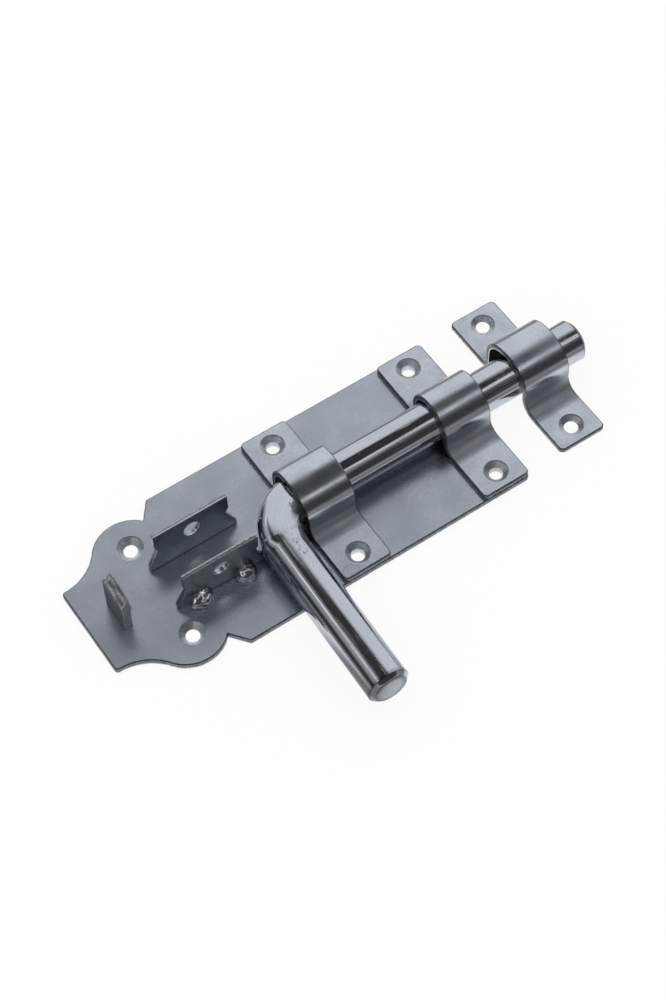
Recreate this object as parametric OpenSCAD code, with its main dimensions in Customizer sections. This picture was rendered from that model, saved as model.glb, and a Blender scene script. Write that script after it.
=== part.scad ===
// Gate latch: a round bolt with a bent handle, guided by two straps on a plate,
// with a padlock staple of two lugs, a stop tab and a separate keeper strap.
// Origin: on the plate's back face, in the middle of the four strap screws.
// +X runs along the bolt towards the keeper, +Z leaves the door.

/* [Base plate] */
// Length of the plate along the bolt
plate_l = 164.3; // [160:0.1:200]
// Width of the plate across the bolt
plate_w = 70; // [68:1:80]
// Thickness of the plate
plate_t = 2.5; // [2:0.1:3.5]
// Radius of the rounding at the plate's four corners
plate_corner_r = 1.5; // [1:0.1:3]
// Width of the straight left edge between the two hollow arcs
end_straight_w = 37.4; // [34:0.2:39]
// Radius of the lobe round each end screw
lobe_r = 14.4; // [13.5:0.1:15]
// Distance from the left edge to the middle of the lobes
lobe_in = 28.9; // [27:0.1:31]
// Distance between the middles of the two lobes
lobe_pitch = 36.8; // [35:0.2:38]
// Distance from the left edge to the step, where the plate is at full width
step_in = 44.7; // [43:0.1:46]
// Length of the slanted step along the plate
step_run = 5.3; // [4:0.1:7]
// Distance from the left edge to the two end screws
end_screw_in = 29.6; // [27:0.1:32]
// Distance between the two end screws
end_screw_pitch = 41.6; // [38:0.2:44]
// Width of the countersinks in the plate's end
end_sink_d = 9.6; // [8.4:0.1:10]

/* [Screw holes] */
// Diameter of every screw hole
screw_d = 5.2; // [4.5:0.1:5.5]
// Height of the straight wall left under each countersink
sink_land = 0.3; // [0.2:0.1:0.8]
// Width of the countersinks in the straps
strap_sink_d = 9.2; // [8:0.1:9.2]

/* [Straps] */
// How far each guide strap's ends stay inside the plate's edges
strap_inset = 0.3; // [0.1:0.1:1]
// Width of each strap along the bolt
strap_w = 20; // [18:0.5:24]
// Thickness of the strap steel
strap_t = 2; // [1.8:0.1:2.5]
// Distance between the middles of the two guide straps
strap_pitch = 60; // [50:1:64]
// Distance between the two screws of a strap
strap_screw_pitch = 55; // [48:1:57]
// Radius of the rounding at the corners of the strap's feet
foot_corner_r = 2; // [1:0.1:4]
// Inner bend radius where each leg turns out into its foot
leg_bend_r = 2.2; // [1.5:0.1:2.6]
// Inner width of the loop of the strap next to the handle
inner_loop_w = 20; // [19.4:0.1:21]
// Inner width of the loop of the strap at the plate's far end
outer_loop_w = 17; // [16.8:0.1:19]
// Inner radius of the shoulders of the loop next to the handle
inner_shoulder_r = 7.2; // [6:0.1:8]
// Inner radius of the shoulders of the loop at the plate's far end
outer_shoulder_r = 8.2; // [7:0.1:8.3]
// Gap between the top of the bar and the inside of the loops
loop_gap = 0.5; // [0.4:0.1:1]
// Width of the lead-in at the mouth of the loop next to the handle
lead_in = 0.8; // [0.6:0.1:1.2]

/* [Keeper] */
// Distance from the outer guide strap's middle to the keeper's middle
keeper_reach = 35.5; // [30:0.5:40]
// Length of the keeper across the bolt
keeper_l = 70; // [68:1:80]
// Inner width of the keeper's loop
keeper_loop_w = 20.6; // [20.6:0.1:22]
// How far the loose keeper lies to the rear of the guide straps
keeper_shift = 2; // [0:0.1:2]
// Inner radius of the shoulders of the keeper's loop
keeper_shoulder_r = 8.4; // [7:0.1:9]

/* [Bolt] */
// Diameter of the round bar
bar_d = 16; // [14:0.5:16]
// Gap between the bar and the plate
bar_gap = 0.3; // [0.2:0.1:1]
// Distance from the handle's middle line to the bar's tip
bolt_l = 137.2; // [130:0.5:160]
// Distance from the bar's middle line to the handle's end
handle_l = 81.5; // [60:0.5:100]
// Distance from the inner strap's middle to the handle's middle line
handle_out = 21.5; // [21:0.1:24]
// Radius of the bend, at the middle of the bar
bend_r = 14; // [12:0.1:14]
// Angle between the handle and the bar
handle_angle = 91.3; // [90:0.1:92]
// Width of the chamfer at the bar's tip
tip_chamfer = 1.5; // [0.5:0.1:3]
// Width of the chamfer at the handle's end
handle_chamfer = 2.2; // [0.5:0.1:3]
// Depth of the flat that the bending die pressed on the outside of the bend
outer_press = 0.85; // [0.3:0.05:1.2]
// Depth of the flats that the die pressed on the top and underside of the bend
face_press = 0.5; // [0.2:0.05:0.8]
// Radius of the die that pressed those flats
die_r = 90; // [60:5:150]

/* [Padlock lugs] */
// Length of each lug at its foot
lug_l = 36.2; // [35:0.2:40]
// Length of each lug above its notches
lug_top_l = 30.6; // [29:0.2:32]
// Length of each lug between the tips of its notches
lug_waist_l = 28.6; // [26:0.2:28.8]
// Height of the lugs above the plate
lug_h = 18.5; // [17.5:0.5:20]
// Height of the straight ends at the lugs' feet
lug_foot_h = 2.5; // [1.5:0.1:4]
// Height of the notch tips above the plate
lug_notch_h = 9.8; // [8:0.1:10.5]
// Height above the plate where the lug's upper ends begin
lug_shoulder_h = 12; // [11.5:0.1:13]
// Thickness of the lugs
lug_t = 2; // [1.8:0.1:3]
// Width between the lugs at the plate
lug_gap = 16.2; // [16.2:0.1:18]
// Outward lean of each lug in degrees
lug_lean = 3; // [0:0.5:4]
// Gap between the handle and the upper ends of the lugs
lug_clear = 0.7; // [0.5:0.1:2]
// Diameter of the padlock hole
lock_d = 6.5; // [6:0.1:8]
// Height of the padlock hole above the plate
lock_h = 11.6; // [10:0.1:12]

/* [Stop tab] */
// Distance from the plate's left edge to the tab
tab_in = 11; // [6:0.1:16]
// Width of the tab across the bolt
tab_w = 12.5; // [8:0.5:16]
// Thickness of the tab
tab_t = 3.4; // [2:0.1:4]
// Height of the tab above the plate, at the middle of its outer face
tab_h = 15.7; // [12:0.1:20]
// Rise of the sheared top through the tab's thickness in degrees
tab_shear = 40; // [10:1:45]
// Rise of the sheared top towards the rear in degrees
tab_side_shear = 13; // [0:1:20]

/* [Weld beads] */
// Radius of the beads at the lugs
bead_r = 3.6; // [2.5:0.1:4]
// Height of a bead's middle above the plate, and its distance from the lug
bead_out = 1.4; // [0.5:0.1:2]
// Distance from the lug's left end to the bead beside it
bead_left_in = 7.8; // [5:0.1:11]
// Distance from the lug's right end to the bead beside it
bead_right_in = 9.9; // [5:0.1:11]
// Radius of the bead behind the stop tab
tab_bead_r = 3; // [2:0.1:3.5]

/* [Hidden] */
$fn = 96;

// Overlap that lets a cutter pass a surface
cut = 1;
// How far the straight bars reach into the bend, and how much thinner the bend is squeezed
lap = 0.3;
squeeze = 0.03;
// Angle before each end of the bend at which the flat on its outside has died away
press_fade = 3;
bar_r = bar_d / 2;
sheet_top = plate_t;
axis_z = plate_t + bar_gap + bar_r;
loop_top = axis_z + bar_r + loop_gap;

strap_l = plate_w - 2 * strap_inset;
inner_x = -strap_pitch / 2;
outer_x = strap_pitch / 2;
keeper_x = outer_x + keeper_reach;
plate_right = outer_x + strap_w / 2;
plate_left = plate_right - plate_l;

lobe_x = plate_left + lobe_in;
lobe_y = lobe_pitch / 2;
step_x = plate_left + step_in;
step_inner_x = step_x - step_run;
step_inner_y = lobe_y + sqrt(lobe_r * lobe_r - pow(step_inner_x - lobe_x, 2));
end_screw_x = plate_left + end_screw_in;

// The hollow arc starts level at the corner and runs smoothly into the lobe
hollow_x = plate_left + plate_corner_r;
hollow_run = lobe_x - hollow_x;
hollow_rise = end_straight_w / 2 - lobe_y;
hollow_r = (pow(hollow_run, 2) + pow(hollow_rise, 2) - pow(lobe_r, 2)) / (2 * (lobe_r - hollow_rise));
hollow_y = end_straight_w / 2 + hollow_r;
meet_share = lobe_r / (lobe_r + hollow_r);
meet_x = lobe_x + (hollow_x - lobe_x) * meet_share;
meet_y = lobe_y + (hollow_y - lobe_y) * meet_share;

handle_x = inner_x - handle_out;
turn = 180 - handle_angle;
bend_start_x = handle_x + bend_r * sin(turn);
bend_middle = [bend_start_x, -bend_r];
handle_start = [bend_start_x - bend_r * sin(turn), bend_middle[1] + bend_r * cos(turn)];
handle_run = handle_l + handle_start[1];
tip_x = handle_x + bolt_l;

lug_x = handle_x - bar_r - lug_clear - lug_top_l / 2;
lug_y = lug_gap / 2;
tab_x = plate_left + tab_in;

// Corner tool: a square with a quarter circle left standing, to round a corner at the origin
// whose two edges run along -X and -Y
module corner_tool(r) {
    difference() {
        translate([-r, -r]) square([r + cut, r + cut]);
        translate([-r, -r]) circle(r);
    }
}

// Rounds the four corners of a rectangle that spans +-half_x and +-half_y
module rounded_rectangle(half_x, half_y, r) {
    difference() {
        square([2 * half_x, 2 * half_y], center = true);
        for (sx = [0, 1], sy = [0, 1])
            mirror([sx, 0]) mirror([0, sy]) translate([half_x, half_y]) corner_tool(r);
    }
}

// A screw hole that opens into a countersink at height top
module countersunk_hole(top, sink_d, depth) {
    sink_depth = depth - sink_land;
    translate([0, 0, top - depth - cut]) cylinder(d = screw_d, h = depth + 2 * cut);
    translate([0, 0, top - sink_depth]) cylinder(d1 = screw_d, d2 = sink_d, h = sink_depth);
    translate([0, 0, top]) cylinder(d = sink_d, h = cut);
}

module plate_outline() {
    difference() {
        union() {
            polygon([
                [plate_left, -meet_y], [step_inner_x, -meet_y], [step_inner_x, -step_inner_y],
                [step_x, -plate_w / 2], [plate_right, -plate_w / 2],
                [plate_right, plate_w / 2], [step_x, plate_w / 2],
                [step_inner_x, step_inner_y], [step_inner_x, meet_y], [plate_left, meet_y]]);
            for (side = [-1, 1]) translate([lobe_x, side * lobe_y]) circle(lobe_r);
        }
        for (side = [-1, 1]) translate([hollow_x, side * hollow_y]) circle(hollow_r);
        for (flip = [0, 1]) mirror([0, flip]) {
            translate([plate_left, end_straight_w / 2]) mirror([1, 0]) corner_tool(plate_corner_r);
            translate([plate_right, plate_w / 2]) corner_tool(foot_corner_r);
        }
    }
}

module base_plate() {
    color([0.62, 0.65, 0.69]) difference() {
        linear_extrude(plate_t) plate_outline();
        for (side = [-1, 1]) {
            translate([end_screw_x, side * end_screw_pitch / 2, 0])
                countersunk_hole(plate_t, end_sink_d, plate_t);
            for (x = [inner_x, outer_x])
                translate([x, side * strap_screw_pitch / 2, -cut])
                    cylinder(d = screw_d, h = plate_t + 2 * cut);
        }
    }
}

// Opening of a loop in y and z, grown by the sheet thickness for its outside
module loop_shape(half_w, top, r, grow) {
    w = half_w + grow;
    h = top + grow;
    difference() {
        translate([-w, -cut]) square([2 * w, h + cut]);
        for (flip = [0, 1]) mirror([flip, 0]) translate([w, h]) corner_tool(r + grow);
    }
}

// Cross-section of a bent strap standing on z = 0: two feet, two legs and a shouldered top
module strap_section(length, loop_w, top, shoulder_r) {
    half_w = loop_w / 2;
    bend_y = half_w + strap_t + leg_bend_r;
    bend_z = strap_t + leg_bend_r;
    difference() {
        union() {
            translate([-length / 2, 0]) square([length, strap_t]);
            intersection() {
                loop_shape(half_w, top, shoulder_r, strap_t);
                translate([-length / 2, 0]) square([length, top + strap_t]);
            }
            translate([-bend_y, 0]) square([2 * bend_y, bend_z]);
        }
        loop_shape(half_w, top, shoulder_r, 0);
        for (flip = [0, 1]) mirror([flip, 0]) {
            translate([bend_y, bend_z]) circle(leg_bend_r);
            translate([half_w - cut, -cut]) difference() {
                square([bend_y - half_w + cut, bend_z + cut]);
                translate([bend_y - half_w + cut, bend_z + cut]) circle(strap_t + leg_bend_r);
            }
        }
    }
}

// A strap with its two screw holes, its middle at x = 0 and its feet on z = 0
module strap(length, loop_w, top, shoulder_r) {
    difference() {
        intersection() {
            rotate([90, 0, 90]) translate([0, 0, -strap_w / 2])
                linear_extrude(strap_w) strap_section(length, loop_w, top, shoulder_r);
            linear_extrude(top + strap_t + cut)
                rounded_rectangle(strap_w / 2, length / 2, foot_corner_r);
        }
        for (side = [-1, 1]) translate([0, side * strap_screw_pitch / 2, 0])
            countersunk_hole(strap_t, strap_sink_d, strap_t);
    }
}

// The sloped lead-in that the handle's bend turns in, at the mouth of the inner strap's loop
module loop_lead_in() {
    mouth = loop_top - plate_t;
    translate([-strap_w / 2, 0, mouth])
        rotate([0, 45, 0])
            cube([lead_in * sqrt(2), inner_loop_w - 2 * inner_shoulder_r, lead_in * sqrt(2)], center = true);
}

module inner_guide_strap() {
    color([0.66, 0.69, 0.73]) translate([inner_x, 0, plate_t]) difference() {
        strap(strap_l, inner_loop_w, loop_top - plate_t, inner_shoulder_r);
        loop_lead_in();
    }
}

module outer_guide_strap() {
    color([0.66, 0.69, 0.73]) translate([outer_x, 0, plate_t])
        strap(strap_l, outer_loop_w, loop_top - plate_t, outer_shoulder_r);
}

module keeper_strap() {
    color([0.66, 0.69, 0.73]) translate([keeper_x, keeper_shift, 0])
        strap(keeper_l, keeper_loop_w, loop_top, keeper_shoulder_r);
}

// A round bar along +Z from z = 0, with its far end chamfered
module chamfered_bar(length, chamfer) {
    cylinder(r = bar_r, h = length - chamfer);
    translate([0, 0, length - chamfer])
        cylinder(r1 = bar_r, r2 = bar_r - chamfer, h = chamfer);
}

module bolt() {
    color([0.72, 0.75, 0.79]) translate([0, 0, axis_z]) union() {
        translate([bend_start_x - lap, 0, 0]) rotate([0, 90, 0])
            chamfered_bar(tip_x - bend_start_x + lap, tip_chamfer);
        translate([handle_start[0], handle_start[1], 0]) rotate([90, 0, turn - 90])
            translate([0, 0, -lap]) chamfered_bar(handle_run + lap, handle_chamfer);
        pressed_bend();
    }
}

// The bend, its outside, top and underside flattened by the bending die
module pressed_bend() {
    reach = bend_r + bar_r;
    fade = cos(turn / 2 - press_fade);
    press_back = (pow(reach, 2) - pow(reach - outer_press, 2)) / (2 * (reach - outer_press - reach * fade));
    translate([bend_middle[0], bend_middle[1], 0]) difference() {
        intersection() {
            rotate([0, 0, 90]) rotate_extrude(angle = turn) translate([bend_r, 0]) circle(bar_r - squeeze);
            rotate([0, 0, 90 + turn / 2]) translate([-press_back, 0, -bar_d])
                cylinder(r = reach - outer_press + press_back, h = 2 * bar_d);
        }
        rotate([0, 0, 90 + turn / 2]) for (side = [0, 1]) mirror([0, 0, side])
            translate([bend_r - bar_r, 0, bar_r - face_press + die_r]) rotate([0, 90, 0])
                cylinder(r = die_r, h = bar_d);
    }
}

// Outline of a lug in x and z, its foot running below z = 0 by the given depth
module lug_outline(below) {
    half = lug_l / 2;
    waist = lug_waist_l / 2;
    top = lug_top_l / 2;
    polygon([
        [-half, -below], [half, -below], [half, lug_foot_h], [waist, lug_notch_h],
        [top, lug_shoulder_h], [top, lug_h], [-top, lug_h], [-top, lug_shoulder_h],
        [-waist, lug_notch_h], [-half, lug_foot_h]]);
}

// The rear lug, leaning away from the bolt, cut level at the plate and drilled along Y
module leaning_lug() {
    difference() {
        translate([lug_x, lug_y, plate_t]) rotate([-lug_lean, 0, 0])
            translate([0, lug_t, 0]) rotate([90, 0, 0]) linear_extrude(lug_t) lug_outline(cut);
        translate([lug_x - lug_l, 0, plate_t - 3 * cut]) cube([2 * lug_l, plate_w, 3 * cut]);
        translate([lug_x, 0, plate_t + lock_h]) rotate([-90, 0, 0]) cylinder(d = lock_d, h = plate_w / 2);
    }
}

module rear_padlock_lug() {
    color([0.45, 0.48, 0.52]) leaning_lug();
}

module front_padlock_lug() {
    color([0.45, 0.48, 0.52]) mirror([0, 1, 0]) leaning_lug();
}

module stop_tab() {
    tall = tab_h + 2 * tab_t + tab_w;
    color([0.5, 0.53, 0.57]) difference() {
        translate([tab_x, -tab_w / 2, plate_t]) cube([tab_t, tab_w, tall]);
        translate([tab_x, 0, plate_t + tab_h]) rotate([tab_side_shear, 0, 0])
            rotate([0, -tab_shear, 0]) translate([-tall, -tall, 0]) cube([3 * tall, 2 * tall, 2 * tall]);
    }
}

// Half-space outside the rear lug's outer face, as a block
module outside_of_lug() {
    translate([lug_x, lug_y, plate_t]) rotate([-lug_lean, 0, 0])
        translate([-lug_l, lug_t, -lug_l]) cube([2 * lug_l, lug_l, 2 * lug_l]);
}

// A bead in the corner between the plate and the rear lug's outer face
module lug_bead(along) {
    intersection() {
        translate([lug_x + along, lug_y + lug_t + bead_out, plate_t + bead_out]) sphere(bead_r);
        outside_of_lug();
        translate([lug_x - lug_l, 0, plate_t]) cube([2 * lug_l, plate_w, lug_h]);
    }
}

module front_lug_left_weld() {
    color([0.75, 0.78, 0.82]) mirror([0, 1, 0]) lug_bead(bead_left_in - lug_l / 2);
}

module front_lug_right_weld() {
    color([0.75, 0.78, 0.82]) mirror([0, 1, 0]) lug_bead(lug_l / 2 - bead_right_in);
}

module rear_lug_left_weld() {
    color([0.75, 0.78, 0.82]) lug_bead(bead_left_in - lug_l / 2);
}

module rear_lug_right_weld() {
    color([0.75, 0.78, 0.82]) lug_bead(lug_l / 2 - bead_right_in);
}

module stop_tab_weld() {
    side = tab_x + tab_t;
    color([0.75, 0.78, 0.82]) intersection() {
        translate([side + bead_out, 0, plate_t + bead_out]) sphere(tab_bead_r);
        translate([side, -tab_w / 2, plate_t]) cube([tab_w, tab_w, tab_h]);
    }
}

base_plate();
inner_guide_strap();
outer_guide_strap();
keeper_strap();
bolt();
rear_padlock_lug();
front_padlock_lug();
stop_tab();
front_lug_left_weld();
front_lug_right_weld();
rear_lug_left_weld();
rear_lug_right_weld();
stop_tab_weld();
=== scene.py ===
# %% [markdown]
# # Gate latch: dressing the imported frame
# The latch is zinc-plated steel: a pressed plate, three bent straps, two lugs, a stop tab and a round bar whose bent
# end is the handle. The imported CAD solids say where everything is. Here each piece is drawn again with the small
# things that make plated steel look real: rolled-over edges, sheared walls, turned countersinks, a die-pressed bend.

# %% Load the frame
import math

import bmesh
import bpy
import numpy as np
from mathutils import Matrix, Vector
from mathutils.geometry import delaunay_2d_cdt


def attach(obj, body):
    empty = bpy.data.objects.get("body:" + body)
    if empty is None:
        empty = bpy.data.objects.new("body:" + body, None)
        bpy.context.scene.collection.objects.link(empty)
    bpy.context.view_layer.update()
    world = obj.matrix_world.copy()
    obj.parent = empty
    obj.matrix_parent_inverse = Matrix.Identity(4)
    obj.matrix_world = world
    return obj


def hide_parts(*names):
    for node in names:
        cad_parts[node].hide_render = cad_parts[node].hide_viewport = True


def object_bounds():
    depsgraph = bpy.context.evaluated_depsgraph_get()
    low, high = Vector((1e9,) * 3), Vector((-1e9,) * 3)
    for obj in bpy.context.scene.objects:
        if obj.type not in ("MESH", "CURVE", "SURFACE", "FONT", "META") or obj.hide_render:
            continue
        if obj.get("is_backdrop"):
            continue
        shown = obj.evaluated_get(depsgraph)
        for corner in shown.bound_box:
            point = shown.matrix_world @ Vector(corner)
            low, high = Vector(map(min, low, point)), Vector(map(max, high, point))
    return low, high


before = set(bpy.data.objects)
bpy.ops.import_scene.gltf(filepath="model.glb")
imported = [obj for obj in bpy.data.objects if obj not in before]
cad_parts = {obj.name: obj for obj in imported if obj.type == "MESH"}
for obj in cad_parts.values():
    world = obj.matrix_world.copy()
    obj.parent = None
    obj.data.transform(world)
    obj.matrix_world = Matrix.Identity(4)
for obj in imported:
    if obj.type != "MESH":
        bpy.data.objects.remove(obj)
cad_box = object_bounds()
MM = 0.001

# %% [markdown]
# ## Camera
# The photograph was taken from the left front, about 58 degrees above the plate, with a fairly long lens. The place
# and the turn were found by fitting the plate's and the straps' edges, so the render can be laid over the photograph.

# %% Camera
CAMERA_PLACE = (-0.262265, -0.383845, 0.711358)
CAMERA_RIGHT = (0.8296234, -0.5579263, -0.0210547)
CAMERA_DOWN = (-0.4809512, -0.6949934, -0.5344812)
CAMERA_AHEAD = (0.2835682, 0.4535444, -0.8449181)
LENS_MM = 56.246
SENSOR_MM = 24.0

camera_data = bpy.data.cameras.new("camera")
camera_data.sensor_fit = "VERTICAL"
camera_data.sensor_height = SENSOR_MM
camera_data.lens = LENS_MM
camera_data.clip_start = 0.01
camera_data.clip_end = 20.0
camera = bpy.data.objects.new("camera", camera_data)
bpy.context.scene.collection.objects.link(camera)
turn = Matrix((CAMERA_RIGHT, [-v for v in CAMERA_DOWN], [-v for v in CAMERA_AHEAD])).transposed()
camera.matrix_world = Matrix.Translation(CAMERA_PLACE) @ turn.to_4x4()
bpy.context.scene.camera = camera
print("camera at", [round(v, 3) for v in camera.location])

# %% [markdown]
# ## Helpers for surfaces
# Every piece is a set of point grids. A grid is a surface with two parameters, so its faces follow from its size
# alone. The grids of one piece share their border points; these are merged once the whole piece is in one mesh.

# %% Grids and shells
def grid_faces(rows, cols, around=False):
    """Quads of a rows x cols grid of points: corner numbers (i, j), (i, j+1), (i+1, j+1), (i+1, j). With around=True
    the last column joins the first."""
    i = np.arange(rows - 1)[:, None]
    j = np.arange(cols if around else cols - 1)[None, :]
    k = (j + 1) % cols
    return np.stack([i * cols + j, i * cols + k, (i + 1) * cols + k, (i + 1) * cols + j], -1).reshape(-1, 4)


class Shell:
    """Collects grids and caps of one piece: points in millimetres, faces, each face's material number, and for each
    point how far it is on the rolled-over edge, 0 to 1, which sets how much painted shade it gets."""

    def __init__(self):
        self.points, self.faces, self.marks, self.rims, self.count = [], [], [], [], 0

    def add(self, points, faces, mark=0, rim_shade=0.0):
        points = np.asarray(points, float).reshape(-1, 3)
        self.points.append(points)
        self.faces += (np.asarray(faces) + self.count).tolist()
        self.marks.append(np.broadcast_to(mark, len(faces)))
        self.rims.append(np.broadcast_to(rim_shade, len(points)))
        self.count += len(points)

    def all_points(self):
        return np.concatenate(self.points)


print("a grid of 3 x 4 points has", len(grid_faces(3, 4)), "faces, and", len(grid_faces(3, 4, True)), "when it closes")

# %% [markdown]
# ## From a shell to an object
# One mesh per piece, at the origin, in metres. Merging the points that two grids share closes the piece, and after
# that its faces can be turned outward. Smooth shading with sharp edges above an angle keeps both arcs and corners.

# %% Mesh and node
MERGE_M = 2e-7


def make_piece(name, shell, points, lay, materials, crease_deg=32.0, **more):
    """Puts a shell into one mesh object at the origin, merges the shared border points and points faces outward. lay
    holds each point's flat coordinates in mm, and more holds further numbers per point, by attribute name."""
    mesh = bpy.data.meshes.new(name)
    mesh.from_pydata((points * MM).tolist(), [], shell.faces)
    mesh.polygons.foreach_set("material_index", np.concatenate(shell.marks).astype(np.int32))
    for key, values in {"rim_shade": np.concatenate(shell.rims), **more}.items():
        layer = mesh.attributes.new(key, "FLOAT", "POINT")
        layer.data.foreach_set("value", np.asarray(values, np.float32))
    layer = mesh.attributes.new("lay", "FLOAT_VECTOR", "POINT")
    layer.data.foreach_set("vector", np.asarray(lay, np.float32).ravel())
    work = bmesh.new()
    work.from_mesh(mesh)
    bmesh.ops.remove_doubles(work, verts=work.verts, dist=MERGE_M)
    bmesh.ops.recalc_face_normals(work, faces=work.faces)
    open_edges = sum(1 for e in work.edges if not e.is_manifold)
    work.to_mesh(mesh)
    work.free()
    mesh.shade_smooth()
    mesh.set_sharp_from_angle(angle=math.radians(crease_deg))
    for material in materials:
        mesh.materials.append(material)
    piece = bpy.data.objects.new(name, mesh)
    bpy.context.scene.collection.objects.link(piece)
    print(f"{name}: {len(mesh.polygons)} faces, {open_edges} open edges")
    return piece


def dress(piece, node, body):
    """The piece stands for a CAD node and moves with its body."""
    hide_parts(node)
    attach(piece, body)


# %% [markdown]
# ## Lines in the flat
# Sheet parts start as flat outlines. Corners are rounded by an arc that touches both sides, straight runs are cut
# into short steps so that a wall can be uneven, and each point knows which way is inward.

# %% Outline helpers
def arc(cx, cy, r, a0, a1, step=0.35):
    """Points (cx + r cos a, cy + r sin a) for a from a0 to a1 degrees, about step millimetres apart."""
    n = max(4, int(abs(math.radians(a1 - a0)) * r / step) + 1)
    a = np.radians(np.linspace(a0, a1, n))
    return np.stack([cx + r * np.cos(a), cy + r * np.sin(a)], -1)


def rounded(corners, radii, step=0.12):
    """A closed outline with each corner replaced by the arc of its radius that touches both sides."""
    corners = np.asarray(corners, float)
    parts = []
    for i, r in enumerate(radii):
        a, b, c = corners[i - 1], corners[i], corners[(i + 1) % len(corners)]
        u, v = (a - b) / np.linalg.norm(a - b), (c - b) / np.linalg.norm(c - b)
        half = math.acos(np.clip(u @ v, -1, 1)) / 2
        cut = r / math.tan(half)
        middle = b + (u + v) / np.linalg.norm(u + v) * r / math.sin(half)
        p, q = b + u * cut - middle, b + v * cut - middle
        a0, a1 = math.atan2(p[1], p[0]), math.atan2(q[1], q[0])
        turn = (a1 - a0 + math.pi) % (2 * math.pi) - math.pi
        parts.append(arc(middle[0], middle[1], r, math.degrees(a0), math.degrees(a0 + turn), step))
    return np.concatenate(parts)


def spaced(outline, step):
    """The closed outline with its long runs cut into pieces of at most step millimetres."""
    nxt = np.roll(outline, -1, 0)
    parts = [p + (q - p) * np.arange(n)[:, None] / n
             for p, q in zip(outline, nxt)
             if (n := max(1, math.ceil(np.linalg.norm(q - p) / step))) and np.linalg.norm(q - p) > 1e-6]
    return np.concatenate(parts)


def inward(outline):
    """Mitred normals that point to the left of travel: (n1 + n2) / (1 + n1.n2) for each point."""
    d = np.roll(outline, -1, 0) - outline
    d /= np.linalg.norm(d, axis=1)[:, None]
    n = np.stack([-d[:, 1], d[:, 0]], -1)
    m = np.roll(n, 1, 0)
    return (n + m) / (1 + (n * m).sum(1))[:, None]


def inside(points, ring):
    """Which points lie in the closed ring, by counting crossings of a ray along +x."""
    x, y = points[:, 0][:, None], points[:, 1][:, None]
    a, b = ring, np.roll(ring, -1, 0)
    spans = (a[:, 1] > y) != (b[:, 1] > y)
    rise = np.where(b[:, 1] == a[:, 1], 1e-12, b[:, 1] - a[:, 1])
    at = a[:, 0] + (y - a[:, 1]) * (b[:, 0] - a[:, 0]) / rise
    return (spans & (x < at)).sum(1) % 2 == 1


square = rounded([(0, 0), (10, 0), (10, 10), (0, 10)], [2] * 4)
print("a square with rounded corners:", len(square), "points,", len(spaced(square, 0.5)), "with its sides cut up")

# %% [markdown]
# ## Pressed sheet
# A blanking die leaves a rolled-over upper edge, a sheared wall and a sharp lower edge. Solidify and Bevel would round
# both edges alike, so the section is drawn, and the outline is carried along it. Each screw hole is a turned profile
# with its countersink. The rim shares paint the upper wall, the rolled-over edge and the countersink's lip dark: a
# painted shade line along these edges.

# %% Edge and hole sections
ROLL_OVER, BURR = 0.5, 0.12
LIP_W, LIP_H = 0.3, 0.12
SUPPORT, GRID_GAP, RING_FAR = 0.06, 0.3, 9.0
CORNER_POINTS, WALL_POINTS, CONE_POINTS, HOLE_SIDES = 6, 5, 14, 96
FACE, WALL, SINK, UNDER = 0, 1, 2, 3
# rows of the wall that take the underside's and the face's finish, and its share of painted shade along the top: (row,
# share) stops
UNDER_ROWS, FACE_ROWS = 3, 6
WALL_RIM_SHADE = ((0, 0.0), (1, 0.2), (7, 0.0), (8, 1.0), (-3, 1.0), (-1, 0.0))
# share of painted shade on the countersink's lip, (row, share) stops
SINK_RIM_SHADE = ((0, 0.0), (-8, 0.0), (-4, 0.4), (-1, 0.0))


def wall_section(thickness, roll, burr):
    """(inset, height) from the lower face up the wall to the upper face, the corners as quarter circles."""
    a = np.radians(np.linspace(0, 90, CORNER_POINTS))
    low = np.stack([burr * (1 - np.sin(a)), burr * (1 - np.cos(a))], -1)
    high = np.stack([roll * (1 - np.cos(a)), thickness - roll + roll * np.sin(a)], -1)
    middle = np.stack([np.zeros(WALL_POINTS), np.linspace(burr, thickness - roll, WALL_POINTS + 2)[1:-1]], -1)
    return np.concatenate([[[burr + SUPPORT, 0]], low, middle, high, [[roll + SUPPORT, thickness]]])


def sink_section(thickness, hole_r, sink_r, land):
    """(radius, height) of a screw hole from the lower face up through its countersink to the upper face."""
    a = np.radians(np.linspace(0, 90, 5))
    foot = [[hole_r + 0.2, 0], [hole_r + 0.12, 0], [hole_r, 0.1]]
    cone = np.linspace(0, 1, CONE_POINTS)[:, None] * [sink_r - hole_r, thickness - LIP_H - land] + [hole_r, land]
    lip = np.stack([sink_r + LIP_W * (1 - np.cos(a)), thickness - LIP_H + LIP_H * np.sin(a)], -1)
    return np.concatenate([foot, cone, lip[1:], [[sink_r + LIP_W + SUPPORT, thickness]]])


def down_rows(rows, stops):
    """One value per row of a section, straight between (row, value) stops; negative rows count from the last."""
    at, values = zip(*stops)
    return np.interp(np.arange(rows), [k % rows for k in at], values)


print("a plate's wall has", len(wall_section(2.5, ROLL_OVER, BURR)), "rows")

# %% [markdown]
# ## Closing the sheet
# The two faces are filled by a triangulation that passes through a grid of inner points, so that the sheet can be bent
# afterwards without kinks. One large polygon would fill a flat face as well, but it could not bend.

# %% Pressed sheet
def fill(rings, inner, height, shell, mark):
    """Triangulates the area inside the first ring and outside the others, through the inner points."""
    points = np.concatenate(rings + [inner])
    edges, start = [], 0
    for ring in rings:
        k = np.arange(len(ring))
        edges += np.stack([start + k, start + (k + 1) % len(ring)], -1).tolist()
        start += len(ring)
    out, _, faces, _, _, _ = delaunay_2d_cdt([Vector(p) for p in points], edges, [], 0, 1e-7)
    out, faces = np.array([tuple(p) for p in out]), np.array(faces)
    middle = out[faces].mean(1)
    keep = inside(middle, rings[0])
    for ring in rings[1:]:
        keep &= ~inside(middle, ring)
    shell.add(np.column_stack([out, np.full(len(out), height)]), faces[keep], mark)


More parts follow.
